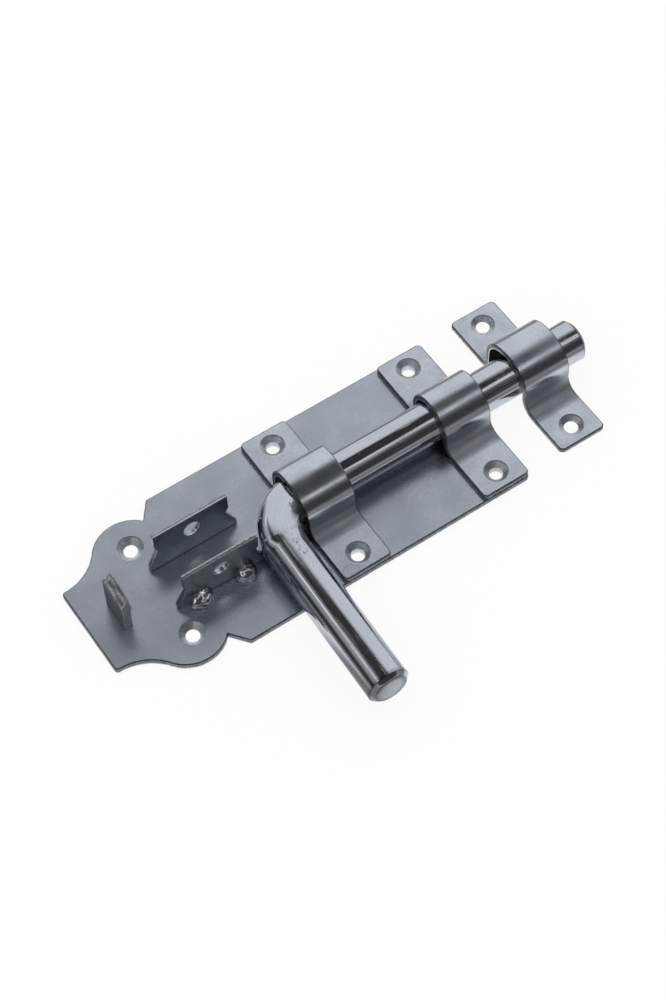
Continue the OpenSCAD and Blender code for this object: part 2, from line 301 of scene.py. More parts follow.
def pressed_sheet(outline, thickness, holes, grid, roll=ROLL_OVER, burr=BURR, uneven=None):
    """The flat piece as a shell. holes are (x, y, hole_r, sink_r, land); grid gives the x and y lines whose crossings
    both faces pass through."""
    shell = Shell()
    section = wall_section(thickness, roll, burr)
    way = inward(outline)
    wall = outline[None] + section[:, 0][:, None, None] * way[None]
    height = np.broadcast_to(section[:, 1][:, None], wall.shape[:2])
    if uneven is not None:
        wall = wall + way[None] * uneven(wall, height)[..., None]
    rows, cols = wall.shape[:2]
    row = np.arange(rows - 1)
    marks = np.where(row < UNDER_ROWS, UNDER, np.where(row < rows - FACE_ROWS, WALL, FACE))
    shell.add(np.dstack([wall, height]), grid_faces(rows, cols, True), np.repeat(marks, cols),
              np.repeat(down_rows(rows, WALL_RIM_SHADE), cols))
    low, high = [wall[0]], [wall[-1]]
    a = -np.linspace(0, 2 * math.pi, HOLE_SIDES, endpoint=False)
    circle = np.stack([np.cos(a), np.sin(a)], -1)
    for x, y, hole_r, sink_r, land in holes:
        turned = sink_section(thickness, hole_r, sink_r, land)
        rows = len(turned)
        points = np.dstack([turned[:, 0][:, None, None] * circle[None] + [x, y],
                            np.broadcast_to(turned[:, 1][:, None], (rows, HOLE_SIDES))])
        shell.add(points, grid_faces(rows, HOLE_SIDES, True), SINK, np.repeat(down_rows(rows, SINK_RIM_SHADE), HOLE_SIDES))
        low.append(points[0, :, :2])
        high.append(points[-1, :, :2])
    inner = np.stack(np.meshgrid(*grid, indexing="ij"), -1).reshape(-1, 2)
    for rings, at, mark in ((low, 0.0, UNDER), (high, thickness, FACE)):
        border = np.concatenate(rings)
        gap = np.hypot(*(inner[:, None] - border[None]).transpose(2, 0, 1)).min(1)
        fill(rings, inner[(gap > GRID_GAP) & inside(inner, rings[0])], at, shell, mark)
    return shell


def hole_distance(points, holes):
    """Distance in the flat from each point to the nearest hole's middle, far ones capped at RING_FAR mm."""
    middles = np.array([h[:2] for h in holes])
    return np.minimum(np.hypot(*(points[:, None, :2] - middles[None]).transpose(2, 0, 1)).min(1), RING_FAR)


# %% [markdown]
# ## Uneven steel
# Nothing sheared is straight. A sum of a few sine waves of different lengths gives a smooth, repeatable waviness;
# a second, finer one gives the torn look of the lower half of a sheared wall.

# %% Waviness
def waves(p, lengths, seed):
    """Sum of sine waves along random directions: sin(2 pi (p . d) / length + phase), scaled to about -1 to 1."""
    rng = np.random.default_rng(seed)
    total = np.zeros(p.shape[:-1])
    for length in lengths:
        d = rng.normal(size=p.shape[-1])
        d /= np.linalg.norm(d)
        total += np.sin(2 * math.pi * (p @ d) / length + rng.uniform(0, 2 * math.pi))
    return total / len(lengths) ** 0.5


LONG_WAVES, TEARING = (9.0, 4.1, 2.3), (1.1, 0.63, 0.4)


def sheared(amount, seed):
    """An uneven wall, always cut inward: amount x (0.6 long waves + tearing in the wall's middle + 0.9), at least 0."""
    def uneven(wall, height):
        share = np.clip(height / height.max(), 0, 1)
        middle = np.minimum(share, 1 - share) * 2
        p = np.dstack([wall, height])
        total = 0.6 * waves(p[..., :2], LONG_WAVES, seed) + middle * waves(p, TEARING, seed + 1)
        return amount * np.maximum(total + 0.9, 0)
    return uneven


print("waves at one point:", round(float(waves(np.zeros(3), LONG_WAVES, 1)), 2))

# %% [markdown]
# ## The latch's sizes
# These are the sizes of the part's source, in millimetres; the dressed bar's end chamfer is a little wider. The origin
# is the middle of the four strap screws on the plate's back, x runs along the bolt and z stands up from the plate.

# %% Sizes
PLATE_T, STRAP_T, LUG_T = 2.5, 2.0, 2.0
PLATE_LEFT, PLATE_RIGHT, PLATE_HALF = -124.3, 40.0, 35.0
END_HALF, CORNER_R = 18.7, 1.5
LOBE_X, LOBE_Y, LOBE_R = -95.4, 18.4, 14.4
STEP_X, STEP_RUN = -79.6, 5.3
STRAP_HALF_W, FOOT_CORNER_R, STRAP_X = 10.0, 2.0, 30.0
SCREW_R, SCREW_LAND, SCREW_Y = 2.6, 0.3, 27.5
END_SINK_R, STRAP_SINK_R, END_SCREW_IN, END_SCREW_Y = 4.8, 4.45, 29.6, 20.8
BAR_R, AXIS_Z, TIP_CHAMFER, END_CHAMFER = 8.0, 10.8, 1.5, 1.7
BEND_X, BEND_R, TURN_DEG = -37.504, 14.0, 88.7
TIP_X, HANDLE_END_Y = 85.7, -81.47
LUG_X, LUG_Y, LEAN = -75.5, 8.1, math.radians(3.0)
print("plate", round(PLATE_RIGHT - PLATE_LEFT, 1), "x", 2 * PLATE_HALF, "mm, bar", 2 * BAR_R, "mm")

# %% [markdown]
# ## Base plate
# A blanked plate, 2.5 mm thick. Its left end has two round lobes for the end screws, joined to the straight end by
# hollow arcs that run smoothly into the lobes. A flat drawing with arcs gives that exactly, and the pressed sheet
# turns it into a piece with rolled-over upper edges. Two turned countersinks take the end screws.

# %% Base plate
def plate_outline():
    """Right-hand corners, step, lobe and hollow of one side, then the same mirrored in y, anticlockwise. A hollow's
    radius follows from its being level at the corner and touching the lobe."""
    run, rise = LOBE_X - PLATE_LEFT - CORNER_R, END_HALF - LOBE_Y
    hollow_r = (run ** 2 + rise ** 2 - LOBE_R ** 2) / (2 * (LOBE_R - rise))
    hx, hy = PLATE_LEFT + CORNER_R, END_HALF + hollow_r
    meet = math.degrees(math.atan2(hy - LOBE_Y, hx - LOBE_X))
    step_in = STEP_X - STEP_RUN
    leave = math.degrees(math.acos((step_in - LOBE_X) / LOBE_R))
    upper = np.concatenate([
        arc(PLATE_RIGHT - FOOT_CORNER_R, PLATE_HALF - FOOT_CORNER_R, FOOT_CORNER_R, 0, 90, 0.15),
        [[STEP_X, PLATE_HALF]],
        arc(LOBE_X, LOBE_Y, LOBE_R, leave, meet, 0.5)[:-1],
        arc(hx, hy, hollow_r, meet - 180, -90, 0.5)[:-1],
        arc(hx, END_HALF - CORNER_R, CORNER_R, 90, 180, 0.15)])
    lower = upper[::-1] * [1, -1]
    return np.concatenate([upper, lower])


END_SCREWS = [(PLATE_LEFT + END_SCREW_IN, s * END_SCREW_Y, SCREW_R, END_SINK_R, SCREW_LAND) for s in (-1, 1)]
STRAP_SCREWS = [(x, s * SCREW_Y, SCREW_R, SCREW_R, SCREW_LAND) for x in (-STRAP_X, STRAP_X) for s in (-1, 1)]
plate_shell = pressed_sheet(spaced(plate_outline(), 0.6), PLATE_T, END_SCREWS + STRAP_SCREWS,
                            (np.arange(-118, 38, 6.0), np.arange(-33, 34, 3.0)), roll=0.45,
                            uneven=sheared(0.035, 11))
print("plate shell:", plate_shell.count, "points")

# %% [markdown]
# ## Guide straps and keeper
# Each strap is a strip bent four times. The flat strip is drawn first, with its screw holes, and then every point is
# carried along the bent middle line: across the strip nothing changes, along it the flat length becomes the path's
# length. So the holes, the rolled-over edges and the torn walls bend with the strip, as they do in a press. Simple
# Deform modifiers could bend it too, but not through arcs of several radii that run into each other.

# %% Bent line
CROWN_R = 15.0


def bent_path(half_loop, top, shoulder_r, bend_rs, thickness):
    """Middle line from the loop's middle to a foot: a crown arc of CROWN_R, a shoulder arc of shoulder_r + t/2 up to
    90 degrees, a straight leg and an arc of bend_r + t/2 that turns outward to the foot; bend_rs are the front
    (y < 0) and rear radii. The crown ends at the angle whose sine is (half_loop - shoulder_r) / (CROWN_R - r1).
    Returns a function of length, (y, z, normal y, normal z), and the lengths at which each side's stretches end."""
    r1 = shoulder_r + thickness / 2
    tilt = math.asin((half_loop - shoulder_r) / (CROWN_R - r1))
    lost = (CROWN_R - r1) * (1 - math.cos(tilt))
    sides = []
    for bend_r in bend_rs:
        r2 = bend_r + thickness / 2
        drop = top - shoulder_r - (thickness + bend_r) - lost
        stretches = [CROWN_R * tilt, r1 * (math.pi / 2 - tilt), drop, r2 * math.pi / 2]
        sides.append((r2, drop, *np.cumsum(stretches)))

    def at(length):
        s, side = np.abs(length), np.sign(length)
        r2, drop, _, e1, e2, e3 = np.where(length[:, None] < 0, sides[0], sides[1]).T
        t0 = np.minimum(s / CROWN_R, tilt)
        t1 = np.clip(tilt + (s - CROWN_R * tilt) / r1, tilt, math.pi / 2)
        t2 = np.clip((s - e2) / r2, 0, math.pi / 2)
        y = CROWN_R * np.sin(t0) + r1 * (np.sin(t1) - math.sin(tilt)) + r2 * (1 - np.cos(t2)) + np.maximum(s - e3, 0)
        z = (top + thickness / 2 - CROWN_R * (1 - np.cos(t0)) - r1 * (math.cos(tilt) - np.cos(t1))
             - np.clip(s - e1, 0, drop) - r2 * np.sin(t2))
        lean = t0 + t1 - tilt - t2
        return side * y, z, side * np.sin(lean), np.cos(lean)
    return at, [side[2:] for side in sides]


# %% [markdown]
# ## A strap from its strip
# The two guide straps hold the bar to the plate, and the keeper catches its tip on the frame. They differ only in
# length, loop and bends. The inner one has a bevelled mouth where the handle's bend turns in it.

# %% Straps
def cross_lines(ends, far):
    """Places of the lines across one half of the strap: close in the crown, the shoulder and the lower bend."""
    crown, shoulder, leg, bend = ends
    return np.concatenate([np.linspace(0.15, crown, 12)[:-1], np.linspace(crown, shoulder, 30),
                           np.linspace(leg, bend, 22), np.arange(bend + 1.5, far - 1, 1.5)])


def strap_shell(length, loop_w, top, shoulder_r, bend_rs, seed, lead_in=0.0, leaning=0.0):
    """The flat strip as a pressed sheet: x across it, the flat length along it. Gives the shell, its flat points, the
    same points bent and standing on z = 0, the holes, and how far each point is on a leg or its lower bend. The loop
    leans back by leaning mm at its top, and lead_in widens its mouth on the handle's side."""
    at, ends = bent_path(loop_w / 2, top, shoulder_r, bend_rs, STRAP_T)
    front, rear = (e[3] + length / 2 - (loop_w / 2 + STRAP_T + r) for e, r in zip(ends, bend_rs))
    screw_in = length / 2 - SCREW_Y
    holes = [(0.0, y, SCREW_R, STRAP_SINK_R, SCREW_LAND) for y in (screw_in - front, rear - screw_in)]
    plain = rounded([(-STRAP_HALF_W, -front), (STRAP_HALF_W, -front), (STRAP_HALF_W, rear), (-STRAP_HALF_W, rear)],
                    [FOOT_CORNER_R] * 4)
    rough = sheared(0.05, seed)

    def uneven(wall, height):
        mouth = (wall[..., 0] < -9) & (np.abs(wall[..., 1]) < loop_w / 2 - shoulder_r)
        return rough(wall, height) + np.where(mouth, np.maximum(lead_in - height, 0), 0)

    lines = np.concatenate([-cross_lines(ends[0], front), cross_lines(ends[1], rear)])
    shell = pressed_sheet(spaced(plain, 0.35), STRAP_T, holes, (np.linspace(-8.5, 8.5, 11), lines), uneven=uneven)
    flat = shell.all_points()
    y, z, ny, nz = at(flat[:, 1])
    h = flat[:, 2] - STRAP_T / 2
    z = z + h * nz
    rise = np.clip((z - STRAP_T) / top, 0, 1)
    bent = np.column_stack([flat[:, 0], y + h * ny + leaning * rise ** 2, z])
    s = np.abs(flat[:, 1])
    shoulder, bend = (np.where(flat[:, 1] < 0, ends[0][k], ends[1][k]) for k in (1, 3))
    leg = np.clip((s - shoulder + 2.0) / 3.0, 0, 1) * np.clip((bend + 3.0 - s) / 2.5, 0, 1)
    return dict(shell=shell, flat=flat, bent=bent, holes=holes, leg=leg)


# size as for strap_shell, the loop's middle on the latch, and where its flat coordinates start in the finish
straps = {
    "inner_guide_strap": dict(size=dict(length=69.4, loop_w=20.0, top=16.8, shoulder_r=7.2, bend_rs=(4.4, 2.2),
                                        seed=21, lead_in=0.8, leaning=1.2), at=(-STRAP_X, 0.0, PLATE_T), shift=100.0),
    "outer_guide_strap": dict(size=dict(length=69.4, loop_w=17.0, top=16.8, shoulder_r=8.2, bend_rs=(4.8, 2.2),
                                        seed=31, leaning=0.9), at=(STRAP_X, 0.0, PLATE_T), shift=300.0),
    "keeper_strap": dict(size=dict(length=70.0, loop_w=20.6, top=19.3, shoulder_r=8.4, bend_rs=(5.4, 2.4), seed=41),
                         at=(65.5, 2.0, 0.0), shift=500.0),
}
for name, strap in straps.items():
    strap.update(strap_shell(**strap["size"]))
    strap["points"] = strap["bent"] + strap["at"]
    print(name, "spans", np.round(strap["points"].min(0), 2), np.round(strap["points"].max(0), 2))

# %% [markdown]
# ## Padlock lugs and stop tab
# The lugs are notched pieces of 2 mm sheet that lean outward by 3 degrees, the tab is a piece of thicker strip whose
# top was cut off on a slant. All three were cut by hand shears, so their edges are the roughest on the latch. They are
# pressed sheets too, which gives them those edges; a cube cut with a Boolean would have clean ones.

# %% Lugs and tab
LUG_HOLE = (0.0, 11.6, 3.25, 3.25, 0.3)
TAB_T, TAB_HALF, TAB_X, TAB_FLAT_TOP = 3.4, 6.25, -113.3, 15.7
TAB_CUT, CUT_ALONG, CUT_ACROSS = 18.2, 0.861, 0.231


def lug_flat():
    """The lug in the flat: u along the plate, w up from it, notched above its foot. The foot is a little shorter
    where the bolt's bend turns past it."""
    half = [(18.1, -0.15), (18.1, 2.5), (14.3, 9.8), (15.3, 12.0), (15.3, 18.5)]
    near_bolt = [(17.7, -0.15), (17.7, 2.5), (13.9, 9.8)] + half[3:]
    corners = near_bolt + [(-u, w) for u, w in half[::-1]]
    radii = [0.15, 0.5, 0.6, 0.5, 0.4]
    return spaced(rounded(corners, radii + radii[::-1]), 0.3)


def lug_piece(side, seed):
    """Height h through the sheet and w up it, leaned: y = 8.1 + h cos(lean) + w sin(lean), z = w cos(lean) - h sin."""
    shell = pressed_sheet(lug_flat(), LUG_T, [LUG_HOLE], (np.arange(-16, 17, 2.0), np.arange(1, 18, 2.0)),
                          roll=0.35, burr=0.2, uneven=sheared(0.03, seed))
    p = shell.all_points()
    y = LUG_Y + p[:, 2] * math.cos(LEAN) + p[:, 1] * math.sin(LEAN)
    z = PLATE_T + p[:, 1] * math.cos(LEAN) - p[:, 2] * math.sin(LEAN)
    return shell, p, np.column_stack([LUG_X + p[:, 0], side * y, z])


def tab_piece():
    """Upright strip: its flat height w is scaled at each point to the slanted cut z = 18.2 + 0.861 x' + 0.231 y, and
    one corner of the top is broken off."""
    outline = spaced(rounded([(-TAB_HALF, -0.2), (TAB_HALF, -0.2), (TAB_HALF, TAB_FLAT_TOP), (-TAB_HALF, TAB_FLAT_TOP)],
                             [0.3, 0.3, 0.7, 0.7]), 0.3)
    shell = pressed_sheet(outline, TAB_T, (), (np.arange(-5, 6, 1.0), np.arange(1, 15, 1.0)), roll=0.4, burr=0.3,
                          uneven=sheared(0.05, 61))
    p = shell.all_points()
    cut = TAB_CUT + CUT_ALONG * p[:, 2] + CUT_ACROSS * p[:, 0] - PLATE_T
    broken = np.clip((p[:, 0] - 3.4) / 0.9, 0, 1) * np.clip((p[:, 2] - 0.5) / 1.2, 0, 1)
    cut = cut - 1.7 * broken + 0.16 * waves(p[:, [0, 2]], (2.7, 1.6, 1.1), 63)
    z = PLATE_T + p[:, 1] * np.where(p[:, 1] > 0, cut / TAB_FLAT_TOP, 1)
    return shell, p, np.column_stack([TAB_X + p[:, 2], p[:, 0], z])


lugs = {"rear_padlock_lug": lug_piece(1, 51), "front_padlock_lug": lug_piece(-1, 55)}
tab_shell, tab_flat, tab_points = tab_piece()
print("lug top", round(lugs["rear_padlock_lug"][2][:, 2].max(), 2), "tab top", round(tab_points[:, 2].max(), 2))

# %% [markdown]
# ## Weld beads
# Short beads of weld metal fix the lugs and the tab. A bead is a lump with frozen ripples round a small crater, so a
# ball of points is pushed in and out by ring waves and by broad random waves, and then flattened where it sits in
# the corner between two sheets. Metaballs would give the lump, but not its ripples.

# %% Weld bead
BEAD_R, BEAD_OUT, BEAD_Z, BEAD_IN = 3.7, 1.5, 3.7, 0.04
TAB_BEAD_R, LEFT_BEAD, RIGHT_BEAD = 1.95, -85.2, -66.7


def bead_points(middle, radius, stretch, seed, rows=70, cols=120):
    """Ball (cos p cos t, sin p cos t, sin t) with r = radius (1 + ripples of the distance from the crater + waves)."""
    t = np.linspace(-math.pi / 2, math.pi / 2, rows)[:, None]
    p = np.linspace(0, 2 * math.pi, cols, endpoint=False)[None, :]
    d = np.stack([np.cos(p) * np.cos(t), np.sin(p) * np.cos(t), np.sin(t) + 0 * p], -1)
    rng = np.random.default_rng(seed)
    crater = np.array([rng.uniform(-0.5, 0.5), -0.75, 0.65])
    away = np.linalg.norm(d - crater / np.linalg.norm(crater), axis=-1)
    # ripples that die out round the crater and the crater itself, then broad and fine lumps, then a drip on one side
    swell = 0.045 * np.sin(away * 12 + 0.6) * np.exp(-away * 0.8) - 0.2 * np.exp(-(away / 0.25) ** 2)
    swell += 0.07 * waves(d, (1.3, 1.0, 0.8), seed) + 0.008 * waves(d, (0.5, 0.4), seed + 1)
    swell += 0.16 * np.exp(-(np.linalg.norm(d - [0.93, -0.25, 0.0], axis=-1) / 0.45) ** 2)
    return (d * (radius * (1 + swell))[..., None] * stretch + middle).reshape(-1, 3), grid_faces(rows, cols, True)


def bead(points, faces, axis, face, side=1):
    """The ball flattened against a standing sheet (not below face on that axis) and on the plate; it reaches BEAD_IN
    into both. side -1 mirrors it to the front."""
    points[:, axis] = np.maximum(points[:, axis], face - BEAD_IN)
    points[:, 2] = np.maximum(points[:, 2], PLATE_T - BEAD_IN)
    points[:, 1] *= side
    shell = Shell()
    shell.add(points, faces)
    return shell


def lug_bead(side, x, seed, stretch):
    """A bead at a lug's foot, against the lug's leaning face."""
    points, faces = bead_points(np.array([x, LUG_Y + LUG_T + BEAD_OUT, BEAD_Z]), BEAD_R, stretch, seed)
    face_y = LUG_Y + LUG_T / math.cos(LEAN) + (points[:, 2] - PLATE_T) * math.tan(LEAN)
    return bead(points, faces, 1, face_y, side)


beads = {
    "front_lug_left_weld": lug_bead(-1, LEFT_BEAD, 5, (1.26, 1.05, 0.97)),
    "front_lug_right_weld": lug_bead(-1, RIGHT_BEAD, 9, (1.06, 1.0, 1.0)),
    "rear_lug_left_weld": lug_bead(1, LEFT_BEAD, 13, (0.92, 0.9, 0.9)),
    "rear_lug_right_weld": lug_bead(1, RIGHT_BEAD, 17, (0.95, 0.92, 0.9)),
    "stop_tab_weld": bead(*bead_points(np.array([TAB_X + TAB_T + 0.9, 1.0, 3.6]), TAB_BEAD_R, 0.95, 21),
                          0, TAB_X + TAB_T),
}
print(len(beads), "weld beads")

# %% [markdown]
# ## Bolt and handle
# One round bar, bent cold in a press, whose bent part is the handle. The bar is a circle carried along a line, an arc
# and a line. A curve with a round bevel would make it too, but it would stay round through the bend, and here every
# row has a radius of its own, so the two chamfered ends are part of the same surface.

# %% Bar line
TURN = math.radians(TURN_DEG)


def bolt_rows():
    """Places along the bar, (length from the tip, radius), with rows of their own for the chamfers and their rounded
    rims. Also where the bend starts and ends, and the whole length."""
    bend_start = TIP_X - BEND_X
    bend_end = bend_start + BEND_R * TURN
    total = bend_end + BEND_R * math.cos(TURN) - BEND_R - HANDLE_END_Y
    s = np.concatenate([np.linspace(0, TIP_CHAMFER, 5)[1:], np.arange(2.0, bend_start - 1, 1.0),
                        np.linspace(bend_start, bend_end, 190), np.arange(bend_end + 0.5, total - 2.6, 0.8),
                        total - END_CHAMFER * np.linspace(1, 0, 5)[:-1]])
    radius = BAR_R - (TIP_CHAMFER - np.minimum(s, TIP_CHAMFER)) - (END_CHAMFER - np.minimum(total - s, END_CHAMFER))
    tip = [(0, 0), (0, 2), (0, 4.5), (0, BAR_R - 1.75), (0.06, BAR_R - 1.56)]
    end_r = BAR_R - END_CHAMFER
    end = [(total - 0.06, end_r - 0.06), (total, end_r - 0.25), (total, 4), (total, 2), (total, 0)]
    s, radius = np.concatenate([tip, np.column_stack([s, radius]), end]).T
    return s, radius, bend_start, bend_end, total


def bar_line(s, bend_start, bend_end):
    """The middle line: straight, an arc of BEND_R, straight; and the side that points away from the arc's middle."""
    t = np.clip((s - bend_start) / BEND_R, 0, TURN)
    before, after = np.minimum(s, bend_start), np.maximum(s - bend_end, 0)
    x = TIP_X - before - BEND_R * np.sin(t) - after * math.cos(TURN)
    y = -BEND_R * (1 - np.cos(t)) - after * math.sin(TURN)
    return np.stack([x, y], -1), np.stack([-np.sin(t), np.cos(t)], -1)


s, radius, bend_start, bend_end, total = bolt_rows()
print("bar of", round(total, 1), "mm, bent from", round(bend_start, 1), "to", round(bend_end, 1), "mm:", len(s), "rows")

# %% [markdown]
# ## The die's marks
# In the bend the die has left its mark: the outside is flattened to a wider arc, the underside is dished and the top
# is flat and tilted a little. A smooth "smaller of two" pulls the circle's points back to those three faces, so the
# flats fade out as they do in steel. On the inner side the steel had nowhere to go, so there the bar swells.

# %% Die faces
DIAGONAL = np.array([math.cos((math.pi + TURN) / 2), math.sin((math.pi + TURN) / 2)])
OUTER_PRESS, PRESS_FADE = 0.85, math.radians(3)
FACE_PRESS, DIE_R = 0.5, 90
TOP_PRESS, TOP_TILT, TILT_WAY = 0.42, 0.05, (0.53, 0.85)


def soft_min(a, b, k):
    """Smaller of a and b with a blend of width k."""
    h = np.clip(0.5 + 0.5 * (b - a) / k, 0, 1)
    return b + (a - b) * h - k * h * (1 - h)


def squeezed_circle(past, a):
    """The round section as |cos a|^n + |sin a|^n = 1, with n from 2 to 2.75 through the bend, where the steel of the
    inner side also swells by up to a tenth. Gives (sideways, up)."""
    inner = np.clip(-np.cos(a), 0, 1)[None]
    stop = BEND_R * TURN + 1.2 + 4.0 * inner
    squeezed = np.clip((past + 1.5) / 4.5, 0, 1) * np.clip((stop - past) / (2.2 + 9.0 * inner), 0, 1)
    squeezed = squeezed ** 2 * (3 - 2 * squeezed)
    power = 2 + 0.75 * squeezed
    square = (np.abs(np.cos(a)) ** power + np.abs(np.sin(a)) ** power) ** (-1 / power)
    return np.cos(a) * square * (1 + 0.1 * squeezed * inner ** 2), np.sin(a) * square


def pressed_outside(q, in_bend):
    """Holds points q, seen from the bend's middle, within a wider arc that cuts OUTER_PRESS off the outside: the arc's
    middle lies back along the diagonal, so that it meets the round bar PRESS_FADE before each end of the bend."""
    reach = BEND_R + BAR_R
    flat = reach - OUTER_PRESS
    back = (reach ** 2 - flat ** 2) / (2 * (flat - reach * math.cos(TURN / 2 - PRESS_FADE)))
    r = q + back * DIAGONAL
    dist = np.linalg.norm(r, axis=-1)
    near = np.where(in_bend, soft_min(dist, flat + back, 0.12), dist)
    return r * (near / dist)[..., None] - back * DIAGONAL


def pressed_faces(q, up, past):
    """Holds the height up within the dished die below and the tilted die above."""
    along, across = q @ DIAGONAL, q @ [-DIAGONAL[1], DIAGONAL[0]]
    dished = BAR_R - FACE_PRESS + DIE_R - np.sqrt(DIE_R ** 2 - across ** 2)
    tilted = BAR_R - TOP_PRESS - TOP_TILT * ((q - DIAGONAL * BEND_R) @ TILT_WAY)
    in_die = (along > 2) & (past > -3) & (past < BEND_R * TURN + 5)
    limit = np.where(in_die, np.where(up > 0, tilted, dished), 99.0)
    return np.sign(up) * soft_min(np.abs(up), limit, 0.1)


# %% [markdown]
# ## The bar's surface
# The bar's rows are carried along its line with the squeezed circle, then held by the die's faces. The lay of the
# finish runs along the bar and round it, so the drawing streaks follow the bend. Two smudges are measured from the
# bend: grime where the hand and the strap rub, and a pitted strip along the handle.

# %% Bolt
def patch(past, a, past_0, past_w, deg_0, a_w):
    """Share of a smudge on the bar, exp(-((past - past_0) / past_w)^2 - ((a - a_0) / a_w)^2), with a_0 in degrees."""
    return np.exp(-((past - past_0) / past_w) ** 2 - ((a - math.radians(deg_0)) / a_w) ** 2).ravel()


def bolt_shell(around=192):
    """Middle line p(s), in the plane z = 10.8, plus radius times the section (cos a outward, sin a up), then held back
    by the die's faces. Also the lay along and round the bar, and where it is grimy and pitted."""
    a = np.linspace(0, 2 * math.pi, around, endpoint=False)
    past, wide = (s - bend_start)[:, None], radius[:, None]
    line, outward = bar_line(s, bend_start, bend_end)
    sideways, up = squeezed_circle(past, a)
    q = line[:, None] + (wide * sideways)[..., None] * outward[:, None] - [BEND_X, -BEND_R]
    in_bend = ((s > bend_start - 6) & (s < bend_end + 6))[:, None] & (np.cos(a) > -0.2)[None]
    points = np.dstack([pressed_outside(q, in_bend) + [BEND_X, -BEND_R],
                        AXIS_Z + pressed_faces(q, wide * up, past)])
    end_face = (s[:-1] < 0.001) | (s[1:] > total - 0.001)
    rim_lines = [0.03, TIP_CHAMFER, total - END_CHAMFER, total - 0.03]
    # painted shade: dark lines along both edges of each chamfer, none on the end faces
    rim_shade = 0.75 * np.exp(-((s[:, None] - rim_lines) / [0.12, 0.25, 0.2, 0.12]) ** 2).max(1)
    rim_shade[radius <= BAR_R - 2.6] = 0
    shell = Shell()
    shell.add(points, grid_faces(len(s), around, True), np.repeat(end_face.astype(int), around), np.repeat(rim_shade, around))
    lay = np.column_stack([np.repeat(s, around), (wide * np.cos(a)).ravel(), (wide * np.sin(a)).ravel()])
    return shell, lay, patch(past, a, 6.0, 5.5, 132, 0.42), patch(past, a, 29, 10.0, 101, 0.5)


bolt, bolt_lay, bolt_grime, bolt_pitted = bolt_shell()
print("bolt spans", np.round(bolt.all_points().min(0), 2), np.round(bolt.all_points().max(0), 2))

# %% [markdown]
# ## Zinc-plated steel
# Bright zinc is a thin, slightly bluish metal coat. It mirrors the room softly, and what makes it look real is how
# uneven it is: broad clouds where the coat is thicker, fine grain, streaks along the rolling direction, hairline
# scratches and small dark pits. Every piece carries a "lay" attribute, its own flat coordinates in millimetres, so
# that the marks follow the steel round its bends. One recipe makes all finishes, with other numbers for each.

# %% Node helpers
class Nodes:
    """Short calls on a node tree. Each adds a node and returns its output; a number or a colour given in place of an
    output is set on the input itself."""

    def __init__(self, tree):
        self.tree = tree

    def link(self, source, target):
        if hasattr(source, "is_linked"):
            self.tree.links.new(source, target)
        else:
            target.default_value = source

    def make(self, kind, inputs=None, out=0, **settings):
        """One node with its settings and inputs, by input name or number; out is the output's number."""
        made = self.tree.nodes.new("ShaderNode" + kind)
        for key, value in settings.items():
            setattr(made, key, value)
        for key, value in (inputs or {}).items():
            self.link(value, made.inputs[key])
        return made.outputs[out]

    # the arithmetic, each on one node

    def maths(self, operation, a, b=0.0, clamp=False):
        return self.make("Math", {0: a, 1: b}, operation=operation, use_clamp=clamp)

    def add(self, a, b, clamp=False):
        return self.maths("ADD", a, b, clamp)

    def times(self, a, b):
        return self.maths("MULTIPLY", a, b)

    def off(self, a, b):
        """How far a is from b."""
        return self.maths("ABSOLUTE", self.maths("SUBTRACT", a, b))

    def vector(self, operation, a, b=(0, 0, 0), out=0):
        return self.make("VectorMath", {0: a, 1: b}, out, operation=operation)

    def length(self, a):
        return self.vector("LENGTH", a, out=1)

    def mix(self, share, low, high):
        return self.make("Mix", {0: share, 2: low, 3: high}, data_type="FLOAT")

    def blend(self, share, low, high):
        """The same for colours."""
        return self.make("Mix", {0: share, 6: low, 7: high}, 2, data_type="RGBA")

    def between(self, value, low, high, to_low=0.0, to_high=1.0, step="SMOOTHSTEP"):
        """Smooth step of value from low to high, then to the range to_low..to_high."""
        return self.make("MapRange", {"Value": value, "From Min": low, "From Max": high, "To Min": to_low,
                                      "To Max": to_high}, interpolation_type=step)

    def noise(self, place, scale, detail=3.0, rough=0.55):
        return self.make("TexNoise", {"Vector": place, "Scale": scale, "Detail": detail, "Roughness": rough})

    def stretched(self, place, size, turn=0.0):
        """The place with each axis divided by a size in millimetres, turned about z first."""
        turned = self.make("Mapping", {"Vector": place, "Rotation": (0, 0, turn)}, vector_type="POINT")
        return self.make("Mapping", {"Vector": turned, "Scale": tuple(1 / s for s in size)}, vector_type="POINT")

    def spot(self, place, x, y, size, turn=0.0):
        """The place seen from a spot (x, y): its length is 1 on the edge of an ellipsoid with half axes size."""
        seen = {"Vector": place, "Location": (x, y, 0), "Rotation": (0, 0, turn), "Scale": size}
        return self.make("Mapping", seen, vector_type="TEXTURE")

    def mark(self, name):
        """The piece's own number of that name: rim, ring, leg, grime or pitted."""
        return self.make("Attribute", out=2, attribute_name=name)


# %% [markdown]
# ## Marks on the coat
# Each mark is a share from 0 to 1: a stretched noise near one of its levels is a thin line, an ellipse with a soft
# edge is one scratch, cell centres within a small distance are pits, and a wave over the distance from a hole's
# middle is the trace of a turning tool.

# %% Marks
HAIRLINES = ((0.35, 26.0), (1.25, 17.0), (2.2, 31.0), (2.75, 12.0))
HAIRLINE_W, SCRATCH_HALF_W, TOOL_FEED = 0.42, 0.19, 0.34


def hairlines_in(g, place, strength):
    """Fine lines in four directions, (turn, length in mm) each, in patches."""
    lines = None
    for k, (turn, long) in enumerate(HAIRLINES):
        n = g.noise(g.stretched(place, (long, HAIRLINE_W, 5.0), turn + 0.1 * k), 1.0, 1.0)
        line = g.between(g.off(n, 0.5 + 0.02 * k), 0.0, 0.012, 1.0, 0.0)
        lines = line if lines is None else g.maths("MAXIMUM", lines, line)
    patches = g.between(g.noise(place, 1 / 17.0, 2.0), 0.45, 0.62)
    return g.times(lines, g.times(patches, strength))


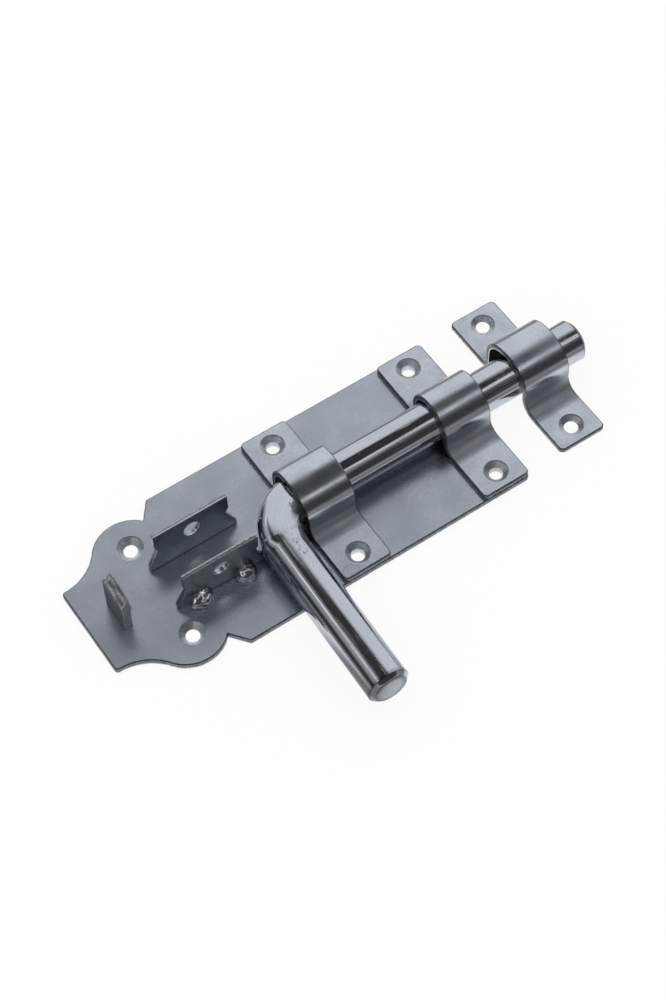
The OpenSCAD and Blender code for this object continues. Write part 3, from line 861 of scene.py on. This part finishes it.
def scratch(g, place, x, y, turn, long):
    """One scratch, long mm, with its middle at (x, y)."""
    return g.between(g.length(g.spot(place, x, y, (long / 2, SCRATCH_HALF_W, 100), turn)), 0.1, 1.0, 1.0, 0.0)


def drawn_grooves(g, place):
    """Long grooves of the drawing die, in patches."""
    n = g.noise(g.stretched(place, (60.0, 0.9, 0.9)), 1.0, 2.0)
    patches = g.between(g.noise(g.stretched(place, (22.0, 3.0, 3.0)), 1.0, 1.0), 0.48, 0.6)
    return g.times(g.between(g.off(n, 0.5), 0.0, 0.05, 1.0, 0.0), patches)


def pits_in(g, place, strength, grimy):
    """Round pits, and on a grimy piece also flecks where it is pitted."""
    cells = g.make("TexVoronoi", {"Vector": place, "Scale": 0.55, "Randomness": 1.0})
    size = g.between(g.noise(place, 0.31, 1.0), 0.5, 0.8, 0.0, 0.22)
    pits = g.times(g.maths("LESS_THAN", cells, size), strength)
    if grimy:
        flecks = g.add(g.noise(g.stretched(place, (1.5, 0.5, 0.5)), 1.0, 4.0, 0.7), g.times(g.mark("pitted"), 0.13))
        pits = g.maths("MAXIMUM", pits, g.times(g.between(flecks, 0.67, 0.7), 0.8))
    return pits


def torn_wall_and_sheen(g, place, wobble):
    """A lighter land at the wall's foot and a near-black band above it, both ragged by wobble mm, and fine upright
    lines. They are partly the burnished and torn zones of a sheared wall, partly a painted highlight and a painted
    shade line.
    """
    up = g.make("SeparateXYZ", {0: place}, 2)
    ragged = g.add(up, g.times(g.noise(place, 0.45, 2.0), wobble))
    slot_shade = g.times(g.between(ragged, 0.85, 1.0), g.between(ragged, 1.25, 1.1))
    return g.between(ragged, 0.75, 0.55), slot_shade, g.noise(g.stretched(place, (9.0, 9.0, 0.25)), 1.0, 2.0)


def tool_rings(g, place):
    """sin(2 pi r / TOOL_FEED) of the distance r from the hole's middle, with a little chatter."""
    r = g.add(g.mark("ring"), g.times(g.noise(place, 0.8, 1.0), 0.08))
    return g.maths("SINE", g.times(r, 2 * math.pi / TOOL_FEED))


# %% [markdown]
# ## The finishes
# Sheet faces are satin with a slight orange peel. Sheared walls are torn, with fine upright lines, and darker towards
# their top, where a painted shade line runs, over a lighter line at their foot that is partly burnished steel and
# partly a painted highlight. The countersinks keep the rings of the tool. The bar is drawn steel: smoother, with long
# streaks.
# Weld metal is rough and blotched, with soot in its hollows. The inner faces of the loops get no light to mirror, so
# they are painted plain dark: a painted shade.

# %% Zinc recipe
BODY = (0.36, 0.64)


def zinc(name, dark, light, gloss, cloud=14.0, grain=0.7, streak=(40, 0.8, 0.8), streak_share=0.3, hairlines=0.5,
         pits=0.3, relief=0.02, grit=0.5, metal=1.0, rim_shade_strength=0.94, scratches=(), ring=None, stain=None, rings=0.0,
         wall_bands_and_sheen=0.0, wobble=0.35, legs=0.0, foot=False, grimy=False):
    """Builds one finish between two colours. gloss is (lowest, highest) roughness, cloud, grain and streak are sizes
    in mm, relief is in mm. ring is (x, y, radius) of a pressed ring, stain (colour, strength). The others say how
    strong a mark is: rings the tool's, the wall's strength that of the torn wall's light and dark lines, legs how much
    rougher the straps' legs are. The rim strength is that of the painted shade on rolled-over edges, the torn wall's
    lines are partly painted highlight and shade, and foot paints the bottom of a standing sheet near black as painted
    shade."""
    made = bpy.data.materials.new(name)
    made.use_nodes = True
    g = Nodes(made.node_tree)
    shader = made.node_tree.nodes["Principled BSDF"]
    shader.inputs["Metallic"].default_value = metal
    shader.inputs["Specular IOR Level"].default_value = 0.5 * metal
    place = g.make("Attribute", out=1, attribute_name="lay")
    grains = g.noise(place, 1 / grain, 5.0, 0.62)
    streaks = g.times(g.noise(g.stretched(place, streak), 1.0, 3.0, 0.6), streak_share)
    body = g.add(g.times(g.noise(place, 1 / cloud, 2.0), 0.55 - streak_share / 2),
                 g.add(g.times(grains, 0.45 - streak_share / 2), streaks))
    colour = g.blend(g.between(body, *BODY), (*dark, 1), (*light, 1))
    rough = g.between(body, *BODY, gloss[1], gloss[0])
    height = g.add(g.times(grains, grit), streaks)

    def paint(share, strength, tint, rougher=0.0, higher=0.0):
        """Lays a mark over the coat: its tint, how much rougher it is and how much higher it stands."""
        nonlocal colour, rough, height
        colour = g.blend(g.times(share, strength), colour, (*tint, 1))
        rough = g.add(rough, g.times(share, rougher)) if rougher else rough
        height = g.add(height, g.times(share, higher)) if higher else height

    paint(hairlines_in(g, place, hairlines), 0.35, (0.72, 0.75, 0.79), 0.1, -0.35)
    for x, y, turn, long in scratches:
        paint(scratch(g, place, x, y, turn, long), 0.55, (0.80, 0.83, 0.87))
    if ring:
        off = g.off(g.length(g.spot(place, *ring[:2], (1, 1, 1000))), ring[2])
        paint(g.between(off, 0.1, 0.4, 1.0, 0.0), 0.45, (0.30, 0.33, 0.36))
    if grimy:
        paint(drawn_grooves(g, place), 0.3, (0.75, 0.78, 0.81), 0.35)
    paint(pits_in(g, place, pits, grimy), 1.0, (0.16, 0.165, 0.17), 0.0, -0.5)
    if stain:
        paint(g.between(g.noise(place, 1 / 3.1, 4.0, 0.65), 0.55, 0.68), stain[1], stain[0], 0.12)
    if grimy:
        grime = g.add(g.mark("grime"), g.times(g.noise(place, 0.9, 4.0, 0.7), 1.3))
        paint(g.between(grime, 1.03, 1.2), 0.85, (0.20, 0.222, 0.218), 0.4)
    if legs:
        rough = g.add(rough, g.times(g.mark("leg"), legs))
    if foot:
        # painted shade: the lowest half millimetre of a standing sheet, where it meets the plate, is painted near black
        low = g.between(g.make("SeparateXYZ", {0: place}, 1), 0.35, 0.65, 1.0, 0.0)
        paint(low, 0.85, (0.03, 0.032, 0.035))
    # painted shade: the rims are painted near black, a little less where the grain is light
    rolled = g.times(g.mark("rim_shade"), g.between(grains, 0.3, 0.6, 1.0, 0.72))
    paint(rolled, rim_shade_strength, (0.045, 0.048, 0.053))
    if wall_bands_and_sheen:
        # painted highlight and shade: the wall's foot is painted lighter and the band above it near black, partly the
        # sheared wall's own zones
        land, slot_shade, lines_up = torn_wall_and_sheen(g, place, wobble)
        paint(land, wall_bands_and_sheen, (0.62, 0.65, 0.69))
        paint(slot_shade, wall_bands_and_sheen, (0.05, 0.055, 0.06))
        height = g.add(height, g.times(lines_up, 0.8))
    if rings:
        groove = tool_rings(g, place)
        height = g.add(height, g.times(groove, rings))
        paint(g.between(groove, -1.0, 1.0), 0.35, dark)
    g.link(colour, shader.inputs["Base Color"])
    g.link(rough, shader.inputs["Roughness"])
    g.link(g.make("Bump", {"Height": height, "Distance": relief * MM}), shader.inputs["Normal"])
    return made


# %% [markdown]
# ## One finish for each kind of surface
# The colours are those of zinc as metal reflects them, a little bluer where it is thick. The long scratches lie on the
# plate between the straps, (x, y, turn, length) each, and the pressed ring on the inner strap's foot is the mark of a
# tool.

# %% Finishes
SCRATCHES = [(-4.3, -14.6, 0.96, 4.6), (-1.4, -18.2, 0.96, 5.6), (0.5, -12.8, 0.96, 4.2), (1.9, -20.5, 1.0, 3.4),
             (7.5, -9.5, 0.7, 4.6), (3.2, -15.8, 0.93, 3.2), (-3.0, -20.0, 0.9, 3.0), (4.6, -12.2, 1.0, 2.6)]
foot_end = float(straps["inner_guide_strap"]["flat"][:, 1].min())
INSIDE_SHADE = dict(cloud=5.0, hairlines=0.0, metal=0.0)

sheet_face = zinc("satin_zinc_sheet", (0.450, 0.490, 0.550), (0.500, 0.540, 0.600), (0.26, 0.33), cloud=16.0,
                  grain=1.3, streak=(22, 6, 5), streak_share=0.12, relief=0.004, scratches=SCRATCHES)
strap_face = zinc("satin_zinc_strap", (0.480, 0.522, 0.582), (0.560, 0.600, 0.660), (0.17, 0.24), cloud=9.0,
                  grain=0.8, streak=(30, 1.2, 2.2), streak_share=0.14, relief=0.010, legs=0.32,
                  scratches=((108.0, -13.0, 0.4, 3.0),), ring=(93.8, foot_end + 1.8, 3.0))
# painted shade: the loops' inner faces are a plain dark non-metal, the keeper's darkest, standing in for the shadow
# inside the loops
strap_inside_shade = zinc("painted_shade_strap_inside", (0.05, 0.053, 0.058), (0.10, 0.105, 0.11), (0.4, 0.5), **INSIDE_SHADE)
keeper_inside_shade = zinc("painted_shade_keeper_inside", (0.015, 0.016, 0.018), (0.045, 0.048, 0.052), (0.4, 0.5), **INSIDE_SHADE)
torn_edge = zinc("sheared_zinc_edge", (0.42, 0.45, 0.49), (0.64, 0.68, 0.73), (0.28, 0.40), cloud=2.5, grain=0.6,
                 streak=(5.0, 5.0, 0.3), relief=0.008, wall_bands_and_sheen=0.3, hairlines=0.0)
tab_edge = zinc("sheared_tab_edge", (0.46, 0.48, 0.51), (0.64, 0.67, 0.71), (0.30, 0.42), cloud=2.0,
                streak=(4.0, 4.0, 0.3), relief=0.012, wall_bands_and_sheen=0.25, rim_shade_strength=0.2, wobble=0.3, hairlines=0.0)
lug_edge = zinc("sheared_lug_edge", (0.42, 0.44, 0.47), (0.60, 0.63, 0.67), (0.25, 0.38), cloud=2.5, grain=0.8,
                streak=(4.0, 4.0, 0.3), relief=0.015, wall_bands_and_sheen=0.85, rim_shade_strength=0.25, wobble=0.12, hairlines=0.0)
turned_sink = zinc("turned_countersink", (0.50, 0.54, 0.59), (0.74, 0.78, 0.83), (0.32, 0.46), cloud=4.0, grain=0.8,
                   streak=(1.0, 1.0, 1.0), hairlines=0.0, relief=0.03, rings=0.3)
bar_face = zinc("drawn_zinc_bar", (0.490, 0.525, 0.578), (0.545, 0.580, 0.632), (0.025, 0.06), cloud=11.0, grain=0.6,
                streak=(55, 0.4, 0.4), streak_share=0.5, hairlines=0.4, relief=0.014, grimy=True, grit=0.16)
bar_end = zinc("sawn_bar_end", (0.40, 0.43, 0.47), (0.50, 0.53, 0.57), (0.28, 0.42), cloud=5.0, grain=0.6,
               streak=(8, 8, 0.5), streak_share=0.2)
lug_face = zinc("dull_zinc_lug", (0.290, 0.325, 0.355), (0.370, 0.405, 0.440), (0.28, 0.36), cloud=7.0, grain=0.9,
                streak_share=0.1, relief=0.012, stain=((0.24, 0.27, 0.29), 0.5), foot=True, rim_shade_strength=0.3)
weld_face = zinc("zinc_over_weld", (0.56, 0.58, 0.61), (0.80, 0.82, 0.85), (0.07, 0.15), cloud=2.0, grain=3.0,
                 streak=(3.0, 3.0, 3.0), hairlines=0.0, pits=0.5, relief=0.004, stain=((0.10, 0.105, 0.10), 0.3))
print(len(bpy.data.materials), "materials")

# %% [markdown]
# ## Put the pieces together
# Each shell becomes one mesh object that takes the place of its CAD node and rides on the same body. The bolt rides
# on its own body, because it turns in the straps. Shears lift a sheet a little near its edge, so the plate rises by a
# fraction of a millimetre towards its front edge, and more at the lobe: lift times the distance squared. A number
# added to a piece's flat x keeps its clouds and scratches from repeating those of the next piece.

# %% Pieces
FRONT_LIFT, LOBE_LIFT, LIFT_FROM_Y, LOBE_FROM_X = 0.0005, 0.0008, -19.0, -78.0
TAB_SHIFT, LUG_SHIFTS = 1100.0, {"rear_padlock_lug": 700.0, "front_padlock_lug": 900.0}

plate_flat = plate_shell.all_points()
lift = FRONT_LIFT + LOBE_LIFT * np.clip((LOBE_FROM_X - plate_flat[:, :1]) / 10.0, 0, 1)
dished = plate_flat + [[0, 0, 1]] * (lift * np.maximum(LIFT_FROM_Y - plate_flat[:, 1:2], 0) ** 2)
plate = make_piece("plate", plate_shell, dished, plate_flat, [sheet_face, torn_edge, turned_sink, sheet_face],
                   ring=hole_distance(plate_flat, END_SCREWS + STRAP_SCREWS))
dress(plate, "base_plate", "mounting")

for name, strap in straps.items():
    inside_shade_face = keeper_inside_shade if "keeper" in name else strap_inside_shade
    piece = make_piece(name.replace("_strap", ""), strap["shell"], strap["points"],
                       strap["flat"] + [strap["shift"], 0, 0], [strap_face, torn_edge, turned_sink, inside_shade_face],
                       ring=hole_distance(strap["flat"], strap["holes"]), leg=strap["leg"])
    dress(piece, name, "mounting")

for name, (shell, flat, points) in lugs.items():
    piece = make_piece(name.replace("padlock_", ""), shell, points, flat + [LUG_SHIFTS[name], 0, 0],
                       [lug_face, lug_edge, lug_edge, lug_face], ring=hole_distance(flat, [LUG_HOLE]))
    dress(piece, name, "mounting")

piece = make_piece("stop", tab_shell, tab_points, tab_flat + [TAB_SHIFT, 0, 0],
                   [lug_face, tab_edge, tab_edge, lug_face])
dress(piece, "stop_tab", "mounting")

for name, shell in beads.items():
    points = shell.all_points()
    piece = make_piece(name.replace("_weld", "_bead"), shell, points, points, [weld_face], crease_deg=180.0)
    dress(piece, name, "mounting")

piece = make_piece("bar", bolt, bolt.all_points(), bolt_lay, [bar_face, bar_end], crease_deg=22.0, grime=bolt_grime,
                   pitted=bolt_pitted)
dress(piece, "bolt", "bolt")

# %% [markdown]
# ## The studio
# Metal shows the room more than itself. The photograph's reflections tell what stood round the latch: a large bright
# wall behind it and to its right, a dark gap overhead, two narrow bright strips high in front, and soft panels to
# the left. A big ball of cloth that only reflections can see carries that pattern, as three profiles over height
# that blend into each other round the compass. A panorama picture could do the same, but the profiles can be read
# and changed. Everything else is lit by an even white world.

# %% Brightness profiles
TENT_R, TENT_LOW = 3.0, -0.35
OVERHEAD = [(76, 0.05), (84, 0.11), (90, 0.12)]
BACK_WALL = [(-20, 0.86), (10, 0.90), (46, 0.91), (54, 0.92), (58, 0.8), (60.5, 0.64), (62.3, 0.44), (64, 0.15),
             (65.5, 0.045)] + OVERHEAD
FRONT_STRIPS = [(-20, 0.2), (-4, 0.25), (2, 0.45), (6, 0.3), (10, 0.07), (13, 0.055), (36, 0.055), (44, 0.13),
                (50, 0.25), (52.6, 0.42), (53.4, 1.2), (55.8, 1.2), (56.6, 0.4), (58, 0.4), (58.8, 1.0), (61.6, 1.0),
                (62.6, 0.1), (66, 0.045)] + OVERHEAD
LEFT_PANELS = [(-20, 0.3), (-4, 0.2), (3, 0.06), (14, 0.035), (20, 0.2), (25, 0.40), (34, 0.42), (37, 0.6),
               (38.3, 1.25), (42, 1.25), (43.5, 0.38), (50, 0.28), (52.5, 0.05)] + OVERHEAD


def profile(g, share, stops):
    """A curve through (elevation in degrees, brightness) stops; share goes from 0 at -90 degrees to 1 at 90."""
    made = g.tree.nodes.new("ShaderNodeFloatCurve")
    curve = made.mapping.curves[0]
    made.mapping.use_clip = False
    stops = [((x + 90) / 180, y) for x, y in stops]
    for x, y in stops[1:-1]:
        curve.points.new(x, y)
    curve.points[0].location = stops[0]
    curve.points[len(stops) - 1].location = stops[-1]
    for p in curve.points:
        p.handle_type = "VECTOR"
    made.mapping.update()
    g.link(share, made.inputs["Value"])
    return made.outputs[0]


print("profiles of", len(BACK_WALL), len(FRONT_STRIPS), len(LEFT_PANELS), "stops")

# %% [markdown]
# ## The tent
# The ball is seen by glossy rays only, so it lights nothing and casts no shadow. Its cloth works out the elevation and
# the compass point of each place from Object coordinates, and looks up its brightness in the three profiles.

# %% Studio tent
def studio_tent(rows=48, cols=96):
    """Ball TENT_R (cos p cos t, sin p cos t, sin t) with t from a little under the floor to straight up."""
    t = np.linspace(TENT_LOW, math.pi / 2, rows)[:, None]
    p = np.linspace(0, 2 * math.pi, cols, endpoint=False)[None, :]
    points = TENT_R * np.stack([np.cos(p) * np.cos(t), np.sin(p) * np.cos(t), np.sin(t) + 0 * p], -1).reshape(-1, 3)
    mesh = bpy.data.meshes.new("studio_tent")
    mesh.from_pydata(points.tolist(), [], grid_faces(rows, cols, True).tolist())
    tent = bpy.data.objects.new("studio_tent", mesh)
    bpy.context.scene.collection.objects.link(tent)
    tent.visible_camera = tent.visible_diffuse = tent.visible_shadow = tent.visible_transmission = False
    made = bpy.data.materials.new("tent_cloth")
    made.use_nodes = True
    g = Nodes(made.node_tree)
    g.tree.nodes.clear()
    unit = g.vector("NORMALIZE", g.make("TexCoord", out=3))
    x, y, z = (g.make("SeparateXYZ", {0: unit}, k) for k in range(3))
    share = g.between(g.maths("DEGREES", g.maths("ARCSINE", z)), -90.0, 90.0, step="LINEAR")
    compass = g.maths("DEGREES", g.maths("ARCTAN2", x, y))
    back, front, left = (profile(g, share, stops) for stops in (BACK_WALL, FRONT_STRIPS, LEFT_PANELS))
    # degrees from the rear towards the tip: back wall 0 to 72, front from 110 round to -150, left side -125 to -20
    towards_tip = g.mix(g.between(compass, 72.0, 110.0), back, front)
    towards_tab = g.mix(g.between(compass, -150.0, -125.0), front, left)
    light = g.mix(g.between(compass, -20.0, 0.0), towards_tab, towards_tip)
    glow = g.make("Emission", {"Color": (0.985, 0.99, 1.0, 1), "Strength": light})
    g.link(glow, g.tree.nodes.new("ShaderNodeOutputMaterial").inputs[0])
    made.cycles.emission_sampling = "NONE"
    mesh.materials.append(made)
    tent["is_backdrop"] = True
    return tent


tent = studio_tent()
print("tent of", len(tent.data.polygons), "faces")

# %% [markdown]
# ## Floor
# The photograph's ground is pure white. The floor is white paper that gets a little of its own light where the camera
# or a mirror sees it, so that it stays white and still keeps the contact shadow. Mirrors see that light fade within a
# few centimetres of the latch, a painted shadow round the plate and the handle, because its sides and the bar's lower
# half are dark in the photograph.

# %% Floor
FLOOR_HALF, FLOOR_Z = 4.0, -0.0002
SHADOW_FADE_M, SHADOW_LEVEL, OWN_LIGHT, EVEN_LIGHT = 0.026, 0.2, 0.9, 0.98
PLATE_AREA, HANDLE_AREA = (-0.124, 0.086, -0.035, 0.035), (-0.046, -0.030, -0.082, 0.0)


def seen_by(g, *kinds):
    """1 for rays of these kinds, 0 for others."""
    path = g.tree.nodes.new("ShaderNodeLightPath")
    seen = path.outputs[kinds[0]]
    for kind in kinds[1:]:
        seen = g.add(seen, path.outputs[kind], clamp=True)
    return seen


def box_gap(g, x0, x1, y0, y1):
    """How far a floor point is from a box, in metres: length of max(|p - middle| - half size, 0)."""
    moved = g.vector("SUBTRACT", g.make("TexCoord", out=3), ((x0 + x1) / 2, (y0 + y1) / 2, 0))
    outside = g.vector("SUBTRACT", g.vector("ABSOLUTE", moved), ((x1 - x0) / 2, (y1 - y0) / 2, 1))
    return g.length(g.vector("MAXIMUM", outside))


def white_paper():
    """Matt paper with a share of light of its own, seen only by the camera and by mirrors; mirrors see it fade near the
    latch as a painted shadow.
    """
    made = bpy.data.materials.new("white_paper")
    made.use_nodes = True
    g = Nodes(made.node_tree)
    g.tree.nodes.clear()
    fibre = g.blend(g.noise(g.make("TexCoord", out=3), 60.0), (0.94, 0.94, 0.94, 1), (0.97, 0.97, 0.97, 1))
    # painted shadow: for mirrors the paper's own light falls to a fifth within 26 mm of the plate and the handle
    gap = g.maths("MINIMUM", box_gap(g, *PLATE_AREA), box_gap(g, *HANDLE_AREA))
    strength = g.mix(seen_by(g, "Is Camera Ray"), g.between(gap, 0.0, SHADOW_FADE_M, 1.0, SHADOW_LEVEL), 1.0)
    lit = g.times(seen_by(g, "Is Camera Ray", "Is Glossy Ray"), OWN_LIGHT)
    both = g.make("MixShader", {0: lit, 1: g.make("BsdfDiffuse", {"Color": fibre}),
                                2: g.make("Emission", {"Color": (1, 1, 1, 1), "Strength": strength})})
    g.link(both, g.tree.nodes.new("ShaderNodeOutputMaterial").inputs[0])
    return made


corners = [(x * FLOOR_HALF, y * FLOOR_HALF, FLOOR_Z) for x, y in ((-1, -1), (1, -1), (1, 1), (-1, 1))]
floor_mesh = bpy.data.meshes.new("floor")
floor_mesh.from_pydata(corners, [], [(0, 1, 2, 3)])
floor_mesh.materials.append(white_paper())
floor = bpy.data.objects.new("floor", floor_mesh)
bpy.context.scene.collection.objects.link(floor)
floor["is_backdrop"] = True

print("floor", 2 * FLOOR_HALF, "m wide")

# %% [markdown]
# ## World
# An even white sky lights the latch from all sides, a little weaker than it looks, so that the floor's shadow stays
# soft and the background is pure white. Standard view keeps the colours as they are set.

# %% World
world = bpy.data.worlds.new("even_white")
bpy.context.scene.world = world
world.use_nodes = True
g = Nodes(world.node_tree)
g.tree.nodes.clear()
seen = seen_by(g, "Is Camera Ray", "Is Glossy Ray", "Is Transmission Ray")
sky = g.make("Background", {"Color": (1, 1, 1, 1), "Strength": g.mix(seen, EVEN_LIGHT, 1.0)})
g.link(sky, g.tree.nodes.new("ShaderNodeOutputWorld").inputs[0])

bpy.context.scene.view_settings.view_transform = "Standard"

# %% Finish
dressed_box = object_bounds()
for name, box in (("cad", cad_box), ("dressed", dressed_box)):
    print(name, [[round(1000 * c, 2) for c in v] for v in box])
